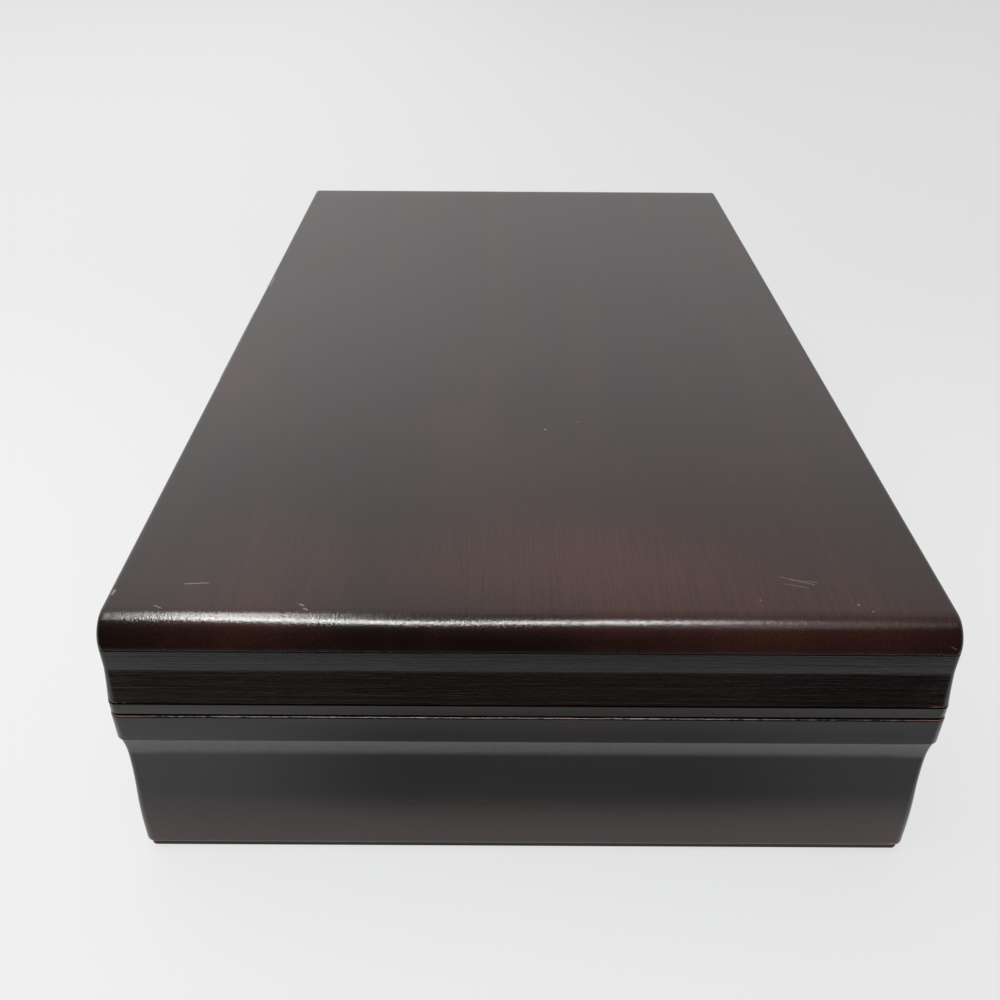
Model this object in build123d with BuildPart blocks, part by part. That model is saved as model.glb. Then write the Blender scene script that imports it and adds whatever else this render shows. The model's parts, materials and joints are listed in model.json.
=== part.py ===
from build123d import *
import os
from math import atan2, cos, degrees, radians, sin

# A moulded wooden silverware chest: a case and a lid of mitred mouldings, racks for forks and spoons
# in the case, a knife rack in the lid, two butt hinges and two slotted lid stays.
# Millimetres. X runs along the chest, +Y points to the hinges, +Z up. The origin is the middle of the
# felt that the chest stands on. The mouldings are measured outward from one reference face, the
# upright band of the lid rails.

# Outside of the chest, over the reference face
body_length = 447.0
body_width = 265.0
corner_radius = 2.0

# Heights of the stack, from the table up
felt_thickness = 0.8
panel_thickness = 2.6
case_rail_height = 62.6
seam_gap = 0.8
lid_rail_height = 25.3
board_thickness = 10.0

# Wood
rail_thickness = 11.0
bullnose_radius = 9.6
board_arris = 0.35

# Moulding of the lid rails, from the top down
lid_band_height = 5.6
lid_hollow_height = 14.8
lid_hollow_outset = 1.35
quirk_height = 0.6
quirk_depth = 0.5
lid_fillet_outset = 1.45
lid_arris = 0.4

# Moulding of the case rails, from the top down
case_band_height = 11.1
case_band_outset = 1.65
case_arris = 0.6
case_nose = 0.4
waist_outset = 0.0
cove_height = 8.6
sweep_height = 36.3
foot_outset = 1.5
foot_arris = 1.1
panel_setback = 1.2
felt_setback = 1.5

# Finger lift on the front of the lid
lift_length = 82.0
lift_reach = 6.3
lift_height = 8.6
lift_let_in = 1.0
lift_nose = 3.0
lift_lip = 1.5
lift_hollow = 5.2
lift_corner = 4.5

# Linings: card covered with flannel
lining_thickness = 1.5
lining_drop = 1.0
ceiling_pad_thickness = 2.5

# Cutlery racks in the case
stay_channel = 7.5
rack_height = 34.0
rack_bar_thickness = 14.0
rack_bar_spacing = 124.0
rack_board_thickness = 5.0
well_width = 84.0
notch_count = 6
notch_end_margin = 15.75
notch_width = 11.5
notch_depth = 21.0

# Knife rack in the lid
knife_bar_from_lining = 13.5
knife_bar_height = 16.0
knife_bar_thickness = 15.0
knife_count = 12
knife_end_margin = 27.0
handle_notch_width = 13.0
handle_notch_depth = 11.0
handle_bar_y = 60.0
blade_notch_width = 5.0
blade_notch_depth = 12.0
blade_bar_y = -66.0

# Butt hinges
hinge_spacing = 250.0
hinge_length = 50.0
hinge_leaf_width = 13.0
hinge_leaf_thickness = 1.2
hinge_barrel_radius = 2.4
hinge_pin_radius = 1.2
hinge_pin_head_radius = 2.0
hinge_pin_head_height = 1.0
hinge_pin_crown = 0.4
hinge_stand_off = 0.35
knuckle_count = 5
knuckle_gap = 0.2
running_clearance = 0.05
mortise_clearance = 0.1

# Screws in the hinges
screw_head_radius = 2.3
screw_head_height = 1.1
screw_shank_radius = 1.2
screw_length = 10.0
screw_spacing = 18.0
screws_per_leaf = 3
screw_set_back = 7.4
drive_slot_width = 0.6
drive_slot_depth = 0.5

# Lid stays
lid_opening_degrees = 95.0
stay_thickness = 1.6
stay_width = 9.0
stay_pivot_forward = 25.0
stay_pivot_drop = 6.8
stay_pin_forward = 84.0
stay_pin_rise = 5.2
stay_shank_radius = 1.6
stay_head_radius = 3.6
stay_head_height = 1.3
stay_spacer_radius = 3.4
stay_play = 0.15
stay_slot_clearance = 0.35
slot_path_steps = 8
stay_screw_grip = 8.0
stay_from_lining = 3.6

# Felt dots that carry the lid's front edge
bumper_radius = 4.0
bumper_from_end = 28.5
bumper_clearance = 0.1

# Levels and faces that follow from the sizes above
panel_bottom = felt_thickness
foot_level = panel_bottom + panel_thickness
rim_level = foot_level + case_rail_height
lid_bottom = rim_level + seam_gap
board_bottom = lid_bottom + lid_rail_height
total_height = board_bottom + board_thickness
half_length = body_length / 2
half_width = body_width / 2
inside_x = half_length - rail_thickness
inside_y = half_width - rail_thickness
lined_x = inside_x - lining_thickness
lined_y = inside_y - lining_thickness
floor_level = foot_level + lining_thickness
lining_top = rim_level - lining_drop
ceiling_level = board_bottom - ceiling_pad_thickness
rack_end_x = lined_x - stay_channel
hinge_y = half_width + case_band_outset + hinge_stand_off + hinge_barrel_radius
hinge_z = rim_level + seam_gap / 2
hinge_places = (-hinge_spacing / 2, hinge_spacing / 2)

FRONT = Vector(0, -1, 0)
BACK = Vector(0, 1, 0)
LEFT = Vector(-1, 0, 0)
RIGHT = Vector(1, 0, 0)
UP = Vector(0, 0, 1)


def keep(part, label):
    """Name a finished piece and write it."""
    part.label = label
    export_step(part, f"parts/{label}.step")


def half_across(outward):
    """Distance from the middle to the reference face on one side of the chest."""
    return half_length if abs(outward.X) > 0.5 else half_width


def half_along(outward):
    """Half the length of the reference face on one side of the chest."""
    return half_width if abs(outward.X) > 0.5 else half_length


def section_plane(outward):
    """Plane of a rail's section: x outward, y up, through the middle of the chest."""
    return Plane(origin=(0, 0, 0), x_dir=outward, z_dir=outward.cross(UP))


def lid_moulding(face):
    """Section of a lid rail, whose upright band lies at the given distance."""
    band_foot = board_bottom - lid_band_height
    hollow_foot = band_foot - lid_hollow_height
    quirk_foot = hollow_foot - quirk_height
    with BuildLine() as outline:
        Polyline(
            (face + lid_fillet_outset - lid_arris, lid_bottom),
            (face - rail_thickness, lid_bottom),
            (face - rail_thickness, board_bottom),
            (face, board_bottom),
            (face, band_foot),
        )
        TangentArc((face, band_foot), (face + lid_hollow_outset, hollow_foot), tangent=(0, -1))
        Polyline(
            (face + lid_hollow_outset, hollow_foot),
            (face + lid_hollow_outset - quirk_depth, hollow_foot),
            (face + lid_hollow_outset - quirk_depth, quirk_foot),
            (face + lid_fillet_outset, quirk_foot),
            (face + lid_fillet_outset, lid_bottom + lid_arris),
        )
        TangentArc(
            (face + lid_fillet_outset, lid_bottom + lid_arris),
            (face + lid_fillet_outset - lid_arris, lid_bottom),
            tangent=(0, -1),
        )
    return outline.line


def case_moulding(face):
    """Section of a case rail, measured from the same reference distance."""
    band_foot = rim_level - case_band_height
    waist_top = band_foot - cove_height
    sweep_foot = waist_top - sweep_height
    sweep_middle = ((waist_outset + foot_outset) / 2 + face, (waist_top + sweep_foot) / 2)
    with BuildLine() as outline:
        Polyline(
            (face + foot_outset - foot_arris, foot_level),
            (face - rail_thickness, foot_level),
            (face - rail_thickness, rim_level),
            (face + case_band_outset - case_arris, rim_level),
        )
        TangentArc(
            (face + case_band_outset - case_arris, rim_level),
            (face + case_band_outset, rim_level - case_arris),
            tangent=(1, 0),
        )
        Line(
            (face + case_band_outset, rim_level - case_arris),
            (face + case_band_outset, band_foot + case_nose),
        )
        TangentArc(
            (face + case_band_outset, band_foot + case_nose),
            (face + case_band_outset - case_nose, band_foot),
            tangent=(0, -1),
        )
        TangentArc(
            (face + waist_outset, waist_top),
            (face + case_band_outset - case_nose, band_foot),
            tangent=(0, 1),
        )
        TangentArc((face + waist_outset, waist_top), sweep_middle, tangent=(0, -1))
        TangentArc((face + foot_outset, sweep_foot), sweep_middle, tangent=(0, 1))
        Line((face + foot_outset, sweep_foot), (face + foot_outset, foot_level + foot_arris))
        TangentArc(
            (face + foot_outset, foot_level + foot_arris),
            (face + foot_outset - foot_arris, foot_level),
            tangent=(0, -1),
        )
    return outline.line


def mitred_rail(outward, moulding, bottom, height):
    """A rail of one moulding, mitred at both ends, with its half of each eased corner."""
    face = half_across(outward)
    run = half_along(outward) - corner_radius
    plane = section_plane(outward)
    behind_corner = rail_thickness - corner_radius
    with BuildPart() as rail:
        with BuildSketch(plane):
            add(moulding(face))
            make_face()
        extrude(amount=run, both=True)
        plan = Plane(origin=(0, 0, bottom), x_dir=outward.cross(UP), z_dir=UP)
        with BuildSketch(plan):
            for end in (-1, 1):
                with BuildLine():
                    Polyline(
                        (end * run, face - corner_radius),
                        (end * run, face - rail_thickness),
                        (end * (run - behind_corner), face - rail_thickness),
                        close=True,
                    )
                make_face()
        extrude(amount=height, mode=Mode.SUBTRACT)
        for end in (-1, 1):
            with BuildSketch(plane.offset(end * run)):
                add(moulding(face))
                make_face()
                with Locations((face - corner_radius, bottom)):
                    Rectangle(
                        rail_thickness, height, align=(Align.MIN, Align.MIN), mode=Mode.INTERSECT
                    )
            centre = plane.offset(end * run).from_local_coords((face - corner_radius, 0, 0))
            revolve(axis=Axis(centre, (0, 0, -end)), revolution_arc=45)
    return rail.part


def middle(low, high):
    """The point halfway between two corners."""
    return tuple((a + b) / 2 for a, b in zip(low, high))


def cut_box(part, low, high):
    """The part with a box taken out of it, given by two corners."""
    with BuildPart() as cut:
        add(part)
        with Locations(middle(low, high)):
            Box(*(b - a for a, b in zip(low, high)), mode=Mode.SUBTRACT)
    return cut.part


def drilled(part, places, direction, radius, depth):
    """The part with round holes that start at the given places."""
    with BuildPart() as holed:
        add(part)
        for place in places:
            with BuildSketch(Plane(origin=place, z_dir=direction)):
                Circle(radius)
            extrude(amount=depth, mode=Mode.SUBTRACT)
    return holed.part


def board(low, high):
    """A plain board, given by two corners."""
    with BuildPart() as plain:
        with Locations(middle(low, high)):
            Box(*(b - a for a, b in zip(low, high)))
    return plain.part


def rounded_slab(outset, level, thickness):
    """A slab with the chest's rounded corners, set out from the reference face."""
    with BuildPart() as slab:
        with BuildSketch(Plane.XY.offset(level)):
            RectangleRounded(
                body_length + 2 * outset, body_width + 2 * outset, corner_radius + outset
            )
        extrude(amount=thickness)
    return slab.part


# Where the screws, pivots and pins go

def hinge_screw_places(level):
    """Middles of the hinge screws' heads on one level."""
    return [
        (x + offset, hinge_y - screw_set_back, level)
        for x in hinge_places
        for offset in (-screw_spacing, 0, screw_spacing)
    ]


stay_pivot = (hinge_y - stay_pivot_forward, hinge_z - stay_pivot_drop)
stay_pin = (hinge_y - stay_pin_forward, hinge_z + stay_pin_rise)


def turned(centre, point, angle):
    """A point of the side view (y, z) after a turn the way the lid opens, in degrees."""
    c = cos(radians(angle))
    s = sin(radians(angle))
    y = point[0] - centre[0]
    z = point[1] - centre[1]
    return (centre[0] + y * c + z * s, centre[1] - y * s + z * c)


def arm_direction(opening):
    """Angle of the stay arm in the side view when the lid has opened so far, in degrees."""
    pin = turned((hinge_y, hinge_z), stay_pin, opening)
    return degrees(atan2(pin[1] - stay_pivot[1], stay_pivot[0] - pin[0]))


stay_ratio = (arm_direction(lid_opening_degrees) - arm_direction(0)) / lid_opening_degrees


def slot_point(opening):
    """Where the lid's pin lies in the closed arm's slot when the lid has opened so far."""
    pin = turned((hinge_y, hinge_z), stay_pin, opening)
    return turned(stay_pivot, pin, -stay_ratio * opening)


def stay_holes(side, pivot):
    """Place and direction of the hole for a stay's screw at one end of the chest."""
    return [(side * lined_x, pivot[0], pivot[1])], (side, 0, 0)


# Mouldings of the case

def make_case_rails():
    seat = mortise_clearance
    hinge_low = rim_level - hinge_leaf_thickness
    leaf_front = hinge_y - hinge_leaf_width
    for label, outward in (
        ("case_front_rail", FRONT),
        ("case_back_rail", BACK),
        ("case_left_rail", LEFT),
        ("case_right_rail", RIGHT),
    ):
        rail = mitred_rail(outward, case_moulding, foot_level, case_rail_height)
        if outward is BACK:
            for x in hinge_places:
                reach = hinge_length / 2 + seat
                low = (x - reach, leaf_front - seat, hinge_low)
                rail = cut_box(rail, low, (x + reach, hinge_y, rim_level))
            rail = drilled(
                rail,
                hinge_screw_places(hinge_low),
                (0, 0, -1),
                screw_shank_radius + running_clearance,
                screw_length,
            )
        if outward.X:
            places, direction = stay_holes(outward.X, stay_pivot)
            depth = lining_thickness + stay_screw_grip
            rail = drilled(rail, places, direction, stay_shank_radius + running_clearance, depth)
        keep(rail, label)


def make_underside():
    keep(rounded_slab(foot_outset - panel_setback, panel_bottom, panel_thickness), "bottom_panel")
    keep(rounded_slab(foot_outset - panel_setback - felt_setback, 0, felt_thickness), "base_felt")


# Linings and racks of the case

def make_case_linings():
    keep(board((-inside_x, -inside_y, foot_level), (inside_x, inside_y, floor_level)), "floor_lining")
    for label, side in (("case_lining_front", -1), ("case_lining_back", 1)):
        faces = sorted((side * lined_y, side * inside_y))
        keep(board((-inside_x, faces[0], floor_level), (inside_x, faces[1], lining_top)), label)
    for label, side in (("case_lining_left", -1), ("case_lining_right", 1)):
        faces = sorted((side * lined_x, side * inside_x))
        lining = board((faces[0], -lined_y, floor_level), (faces[1], lined_y, lining_top))
        places, direction = stay_holes(side, stay_pivot)
        radius = stay_shank_radius + running_clearance
        keep(drilled(lining, places, direction, radius, lining_thickness), label)


def make_case_racks():
    well_x = well_width / 2
    bar_end = rack_end_x - rack_board_thickness
    bar_start = well_x + rack_board_thickness
    rack_top = floor_level + rack_height
    notch_pitch = (bar_end - bar_start - 2 * notch_end_margin) / (notch_count - 1)
    for name, side in (("left", -1), ("right", 1)):
        inner = sorted((side * well_x, side * bar_start))
        outer = sorted((side * bar_end, side * rack_end_x))
        low = -lined_y
        keep(board((inner[0], low, floor_level), (inner[1], -low, rack_top)), f"rack_divider_{name}")
        keep(board((outer[0], low, floor_level), (outer[1], -low, rack_top)), f"rack_end_{name}")
        for place, y in (("front", -rack_bar_spacing / 2), ("rear", rack_bar_spacing / 2)):
            with BuildPart() as bar:
                with BuildSketch(Plane.XZ.offset(-y)):
                    with Locations((side * (bar_start + bar_end) / 2, floor_level + rack_height / 2)):
                        Rectangle(bar_end - bar_start, rack_height)
                    with Locations((side * (bar_start + bar_end) / 2, rack_top)):
                        with GridLocations(notch_pitch, 0, notch_count, 1):
                            SlotOverall(2 * notch_depth, notch_width, rotation=90, mode=Mode.SUBTRACT)
                extrude(amount=rack_bar_thickness / 2, both=True)
            keep(bar.part, f"rack_{place}_{name}")


# Lid

def make_lid_top():
    """The board: a bullnose at both ends, its long edges and corners only eased."""
    with BuildPart() as lid_top:
        with BuildSketch(Plane.XZ) as along:
            with Locations((0, board_bottom)):
                Rectangle(body_length, board_thickness, align=(Align.CENTER, Align.MIN))
            fillet(along.vertices().group_by(Axis.Y)[-1], bullnose_radius)
        extrude(amount=half_width, both=True)
        for side in (0, -1):
            rim = lid_top.faces().filter_by(Axis.Y).sort_by(Axis.Y)[side].edges()
            fillet(rim - rim.group_by(Axis.Z)[0], corner_radius)
        chamfer(lid_top.faces().sort_by(Axis.Z)[0].outer_wire().edges(), board_arris)
    keep(lid_top.part, "lid_top")


def make_lid_rails():
    seat = mortise_clearance
    hinge_high = lid_bottom + hinge_leaf_thickness
    leaf_front = hinge_y - hinge_leaf_width
    for label, outward in (
        ("lid_front_rail", FRONT),
        ("lid_back_rail", BACK),
        ("lid_left_rail", LEFT),
        ("lid_right_rail", RIGHT),
    ):
        rail = mitred_rail(outward, lid_moulding, lid_bottom, lid_rail_height)
        if outward is FRONT:
            low = (-lift_length / 2, -half_width - lid_fillet_outset, board_bottom - lift_height)
            high = (lift_length / 2, -half_width + lift_let_in, board_bottom)
            rail = cut_box(rail, low, high)
        if outward is BACK:
            for x in hinge_places:
                reach = hinge_length / 2 + seat
                low = (x - reach, leaf_front - seat, lid_bottom)
                rail = cut_box(rail, low, (x + reach, hinge_y, hinge_high))
            rail = drilled(
                rail,
                hinge_screw_places(hinge_high),
                (0, 0, 1),
                screw_shank_radius + running_clearance,
                screw_length,
            )
        if outward.X:
            places, direction = stay_holes(outward.X, stay_pin)
            depth = lining_thickness + stay_screw_grip
            rail = drilled(rail, places, direction, stay_shank_radius + running_clearance, depth)
        keep(rail, label)


def make_finger_lift():
    """A rounded lip under the board's edge, hollowed below for the fingers."""
    top = board_bottom
    bottom = board_bottom - lift_height
    tip = half_width + lift_reach
    lip_foot = (tip - lift_lip, top - lift_nose - lift_lip)
    with BuildPart() as lift:
        with BuildSketch(section_plane(FRONT)):
            with BuildLine():
                Polyline(
                    (tip - lift_nose, top),
                    (half_width - lift_let_in, top),
                    (half_width - lift_let_in, bottom),
                    (tip - lift_hollow, bottom),
                )
                TangentArc((tip - lift_hollow, bottom), lip_foot, tangent=(0, 1))
                ThreePointArc(lip_foot, (tip, top - lift_nose), (tip - lift_nose, top))
            make_face()
        extrude(amount=lift_length / 2, both=True)
        with BuildSketch(Plane.XY.offset(bottom)) as plan:
            with Locations((0, -half_width + lift_let_in)):
                Rectangle(lift_length, lift_let_in + lift_reach, align=(Align.CENTER, Align.MAX))
            fillet(plan.vertices().group_by(Axis.Y)[0], lift_corner)
        extrude(amount=lift_height, mode=Mode.INTERSECT)
    keep(lift.part, "finger_lift")


def make_lid_linings():
    lined_bottom = lid_bottom + lining_drop
    keep(
        board((-inside_x, -inside_y, ceiling_level), (inside_x, inside_y, board_bottom)),
        "lid_ceiling_pad",
    )
    for label, side in (("lid_lining_front", -1), ("lid_lining_back", 1)):
        faces = sorted((side * lined_y, side * inside_y))
        keep(board((-inside_x, faces[0], lined_bottom), (inside_x, faces[1], ceiling_level)), label)
    for label, side in (("lid_lining_left", -1), ("lid_lining_right", 1)):
        faces = sorted((side * lined_x, side * inside_x))
        lining = board((faces[0], -lined_y, lined_bottom), (faces[1], lined_y, ceiling_level))
        places, direction = stay_holes(side, stay_pin)
        radius = stay_shank_radius + running_clearance
        keep(drilled(lining, places, direction, radius, lining_thickness), label)


def make_knife_rack():
    bar_bottom = ceiling_level - knife_bar_height
    bar_length = 2 * (lined_x - knife_bar_from_lining)
    knife_pitch = (bar_length - 2 * knife_end_margin) / (knife_count - 1)
    for label, y, width, depth in (
        ("knife_rack_handles", handle_bar_y, handle_notch_width, handle_notch_depth),
        ("knife_rack_blades", blade_bar_y, blade_notch_width, blade_notch_depth),
    ):
        with BuildPart() as bar:
            with BuildSketch(Plane.XZ.offset(-y)):
                with Locations((0, bar_bottom + knife_bar_height / 2)):
                    Rectangle(bar_length, knife_bar_height)
                with Locations((0, bar_bottom)):
                    with GridLocations(knife_pitch, 0, knife_count, 1):
                        SlotOverall(2 * depth, width, rotation=90, mode=Mode.SUBTRACT)
            extrude(amount=knife_bar_thickness / 2, both=True)
        keep(bar.part, label)


# Hinges

knuckle_length = (hinge_length - knuckle_gap * (knuckle_count - 1)) / knuckle_count


def hinge_leaf(x, plate_bottom, knuckles, head_plane):
    """One leaf: a plate let into the wood, with some of the barrel's knuckles and its screw holes."""
    plate_back = hinge_y - hinge_barrel_radius - knuckle_gap
    with BuildPart() as leaf:
        with BuildSketch(Plane.XY.offset(plate_bottom)):
            with Locations((x, plate_back)):
                Rectangle(
                    hinge_length,
                    plate_back - (hinge_y - hinge_leaf_width),
                    align=(Align.CENTER, Align.MAX),
                )
        extrude(amount=hinge_leaf_thickness)
        for index in knuckles:
            start = x - hinge_length / 2 + index * (knuckle_length + knuckle_gap)
            with BuildSketch(Plane.XY.offset(plate_bottom)):
                with Locations((start, plate_back)):
                    Rectangle(
                        knuckle_length, hinge_y - plate_back, align=(Align.MIN, Align.MIN)
                    )
            extrude(amount=hinge_leaf_thickness)
            with BuildSketch(Plane.YZ.offset(start)):
                with Locations((hinge_y, hinge_z)):
                    Circle(hinge_barrel_radius)
            extrude(amount=knuckle_length)
        with BuildSketch(Plane.YZ.offset(x)):
            with Locations((hinge_y, hinge_z)):
                Circle(hinge_pin_radius + running_clearance)
        extrude(amount=hinge_length, both=True, mode=Mode.SUBTRACT)
        with Locations(head_plane):
            with GridLocations(screw_spacing, 0, screws_per_leaf, 1):
                CounterSinkHole(
                    screw_shank_radius + running_clearance,
                    screw_head_radius + running_clearance,
                    depth=2 * hinge_leaf_thickness,
                )
    return leaf.part


def make_hinges():
    for name, x in zip(("left", "right"), hinge_places):
        head_y = hinge_y - screw_set_back
        up = Plane(origin=(x, head_y, rim_level), x_dir=(1, 0, 0), z_dir=(0, 0, 1))
        down = Plane(origin=(x, head_y, lid_bottom), x_dir=(1, 0, 0), z_dir=(0, 0, -1))
        case_leaf = hinge_leaf(x, rim_level - hinge_leaf_thickness, range(0, knuckle_count, 2), up)
        lid_leaf = hinge_leaf(x, lid_bottom, range(1, knuckle_count, 2), down)
        keep(case_leaf, f"hinge_case_leaf_{name}")
        keep(lid_leaf, f"hinge_lid_leaf_{name}")
        with BuildPart() as pin:
            with BuildSketch(Plane.YZ.offset(x)):
                with Locations((hinge_y, hinge_z)):
                    Circle(hinge_pin_radius)
            extrude(amount=hinge_length / 2 + running_clearance, both=True)
            for end in (-1, 1):
                seat = x + end * (hinge_length / 2 + running_clearance)
                with BuildSketch(Plane.YZ.offset(seat)):
                    with Locations((hinge_y, hinge_z)):
                        Circle(hinge_pin_head_radius)
                extrude(amount=end * hinge_pin_head_height)
            rims = pin.edges().filter_by(GeomType.CIRCLE).group_by(Axis.X)
            fillet(rims[0] + rims[-1], hinge_pin_crown)
        keep(pin.part, f"hinge_pin_{name}")


def screw_set(places, direction):
    """Countersunk screws whose heads lie at the given places and whose shanks run along a direction."""
    with BuildPart() as screws:
        for place in places:
            plane = Plane(origin=place, x_dir=(1, 0, 0), z_dir=(0, -direction, 0))
            with BuildSketch(plane):
                with BuildLine():
                    Polyline(
                        (0, 0),
                        (screw_head_radius, 0),
                        (screw_shank_radius, screw_head_height),
                        (screw_shank_radius, screw_length - screw_shank_radius),
                        (0, screw_length),
                        close=True,
                    )
                make_face()
            revolve(axis=Axis(place, (0, 0, 1)))
            with Locations((place[0], place[1], place[2] + direction * drive_slot_depth / 2)):
                Box(2 * screw_head_radius, drive_slot_width, drive_slot_depth, mode=Mode.SUBTRACT)
    return screws.part


def make_hinge_screws():
    keep(screw_set(hinge_screw_places(rim_level), -1), "hinge_screws_case")
    keep(screw_set(hinge_screw_places(lid_bottom), 1), "hinge_screws_lid")


# Lid stays: the arm turns on the case's screw, and the lid's screw runs in its slot

stay_outer_x = lined_x - stay_from_lining
stay_inner_x = stay_outer_x - stay_thickness


def make_stay_arm(name, side):
    steps = range(slot_path_steps + 1)
    slot_path = [slot_point(lid_opening_degrees * step / slot_path_steps) for step in steps]
    with BuildPart() as arm:
        with BuildSketch(Plane.YZ.offset(side * stay_inner_x)):
            with BuildLine():
                Line(stay_pivot, slot_path[0])
            trace(line_width=stay_width)
            with BuildLine():
                Spline(*slot_path)
            trace(line_width=stay_width)
            with Locations(stay_pivot, slot_path[0], slot_path[-1]):
                Circle(stay_width / 2)
            slot_radius = stay_shank_radius + stay_slot_clearance
            with BuildLine():
                Spline(*slot_path)
            trace(line_width=2 * slot_radius, mode=Mode.SUBTRACT)
            with Locations(slot_path[0], slot_path[-1]):
                Circle(slot_radius, mode=Mode.SUBTRACT)
            with Locations(stay_pivot):
                Circle(stay_shank_radius + running_clearance, mode=Mode.SUBTRACT)
        extrude(amount=side * stay_thickness)
    keep(arm.part, f"stay_arm_{name}")


def stay_screws(point):
    """The pair of round-head screws, one at each end of the chest, at one point of the side view."""
    with BuildPart() as screws:
        for side in (-1, 1):
            head_back = stay_inner_x - stay_play
            with BuildSketch(Plane.YZ.offset(side * head_back)):
                with Locations(point):
                    Circle(stay_head_radius)
            extrude(amount=-side * stay_head_height)
            with BuildSketch(Plane.YZ.offset(side * head_back)):
                with Locations(point):
                    Circle(stay_shank_radius)
            extrude(amount=side * (inside_x + stay_screw_grip - head_back))
            top = side * (head_back - stay_head_height)
            crown = screws.edges().filter_by(GeomType.CIRCLE).filter_by(
                lambda edge: abs(edge.center().X - top) < stay_play
            )
            fillet(crown, stay_head_height / 2)
            with Locations((top + side * drive_slot_depth / 2, point[0], point[1])):
                Box(drive_slot_depth, 2 * stay_head_radius, drive_slot_width, mode=Mode.SUBTRACT)
    return screws.part


def stay_spacers(point):
    """The pair of brass collars that hold the arms off the linings."""
    with BuildPart() as spacers:
        for side in (-1, 1):
            with BuildSketch(Plane.YZ.offset(side * (stay_outer_x + stay_play))):
                with Locations(point):
                    Circle(stay_spacer_radius)
                    Circle(stay_shank_radius + running_clearance, mode=Mode.SUBTRACT)
            extrude(amount=side * (lined_x - stay_outer_x - stay_play))
    return spacers.part


def make_stays():
    for name, side in (("left", -1), ("right", 1)):
        make_stay_arm(name, side)
    keep(stay_screws(stay_pivot), "stay_pivot_screws")
    keep(stay_spacers(stay_pivot), "stay_pivot_spacers")
    keep(stay_screws(stay_pin), "stay_pin_screws")
    keep(stay_spacers(stay_pin), "stay_pin_spacers")


def make_bumpers():
    with BuildPart() as bumpers:
        with BuildSketch(Plane.XY.offset(rim_level)):
            bumper_y = -half_width + rail_thickness / 2
            bumper_x = half_length - bumper_from_end
            with Locations((-bumper_x, bumper_y), (bumper_x, bumper_y)):
                Circle(bumper_radius)
        extrude(amount=seam_gap - bumper_clearance)
    keep(bumpers.part, "lid_bumpers")


os.makedirs("parts", exist_ok=True)
make_case_rails()
make_underside()
make_case_linings()
make_case_racks()
make_lid_top()
make_lid_rails()
make_finger_lift()
make_lid_linings()
make_knife_rack()
make_hinges()
make_hinge_screws()
make_stays()
make_bumpers()
print(f"overall height {total_height:.1f}")
print(f"hinge axis y {hinge_y:.2f} z {hinge_z:.2f}, stay pivot y {stay_pivot[0]:.2f} z {stay_pivot[1]:.2f}")
print(f"stay arm turns {stay_ratio:.5f} times the lid's angle")
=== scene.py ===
import bpy
import bmesh
import json
import math
from mathutils import Matrix, Vector, noise

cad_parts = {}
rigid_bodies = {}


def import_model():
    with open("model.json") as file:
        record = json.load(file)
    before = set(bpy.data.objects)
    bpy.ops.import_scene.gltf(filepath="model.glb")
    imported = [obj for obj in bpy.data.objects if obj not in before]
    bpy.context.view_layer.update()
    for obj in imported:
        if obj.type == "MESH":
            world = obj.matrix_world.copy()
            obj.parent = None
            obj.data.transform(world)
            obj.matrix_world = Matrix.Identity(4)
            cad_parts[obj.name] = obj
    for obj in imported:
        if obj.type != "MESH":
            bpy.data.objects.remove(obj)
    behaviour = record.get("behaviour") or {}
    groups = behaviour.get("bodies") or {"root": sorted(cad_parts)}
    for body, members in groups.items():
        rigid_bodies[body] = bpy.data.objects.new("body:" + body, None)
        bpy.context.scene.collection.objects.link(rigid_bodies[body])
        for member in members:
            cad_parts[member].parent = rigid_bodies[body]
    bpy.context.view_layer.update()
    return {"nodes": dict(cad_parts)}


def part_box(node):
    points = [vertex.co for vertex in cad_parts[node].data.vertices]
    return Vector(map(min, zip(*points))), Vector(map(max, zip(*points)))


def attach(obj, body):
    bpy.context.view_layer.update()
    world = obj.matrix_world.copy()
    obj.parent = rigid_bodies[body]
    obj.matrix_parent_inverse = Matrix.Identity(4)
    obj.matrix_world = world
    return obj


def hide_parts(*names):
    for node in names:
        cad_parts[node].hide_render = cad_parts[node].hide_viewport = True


# The looks of a moulded wooden silverware chest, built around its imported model.
# Metres, in the model's frame: X along the chest, +Y to the hinges, +Z up.

for start_object in list(bpy.data.objects):
    bpy.data.objects.remove(start_object)
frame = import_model()

MM = 0.001

# Outside of the chest over the lid rails' upright band, and the eased corner
body_length = 447 * MM
body_width = 265 * MM
corner_radius = 2 * MM
rail_thickness = 11 * MM

# Lid board
bullnose_radius = 9.6 * MM
board_arris = 0.35 * MM

# Moulding of the lid rails; the hollow leaves the band a few degrees off upright
lid_band_height = 7.4 * MM
lid_hollow_height = 13 * MM
lid_hollow_outset = 1.35 * MM
hollow_start = (0.078, -1)
quirk_height = 0.6 * MM
quirk_depth = 0.5 * MM
quirk_ease = 0.05 * MM
lid_fillet_outset = 1.45 * MM
fillet_ease = 0.12 * MM
lid_arris = 0.4 * MM

# Moulding of the case rails
case_band_height = 11.1 * MM
case_band_outset = 1.65 * MM
case_arris = 0.6 * MM
case_nose = 0.4 * MM
cove_height = 8.6 * MM
waist_outset = 0 * MM
sweep_height = 36.3 * MM
foot_outset = 1.5 * MM
foot_arris = 1.1 * MM

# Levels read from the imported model
foot_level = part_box("case_front_rail")[0].z
rim_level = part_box("case_front_rail")[1].z
lid_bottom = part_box("lid_front_rail")[0].z
board_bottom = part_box("lid_top")[0].z
top_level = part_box("lid_top")[1].z

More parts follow.
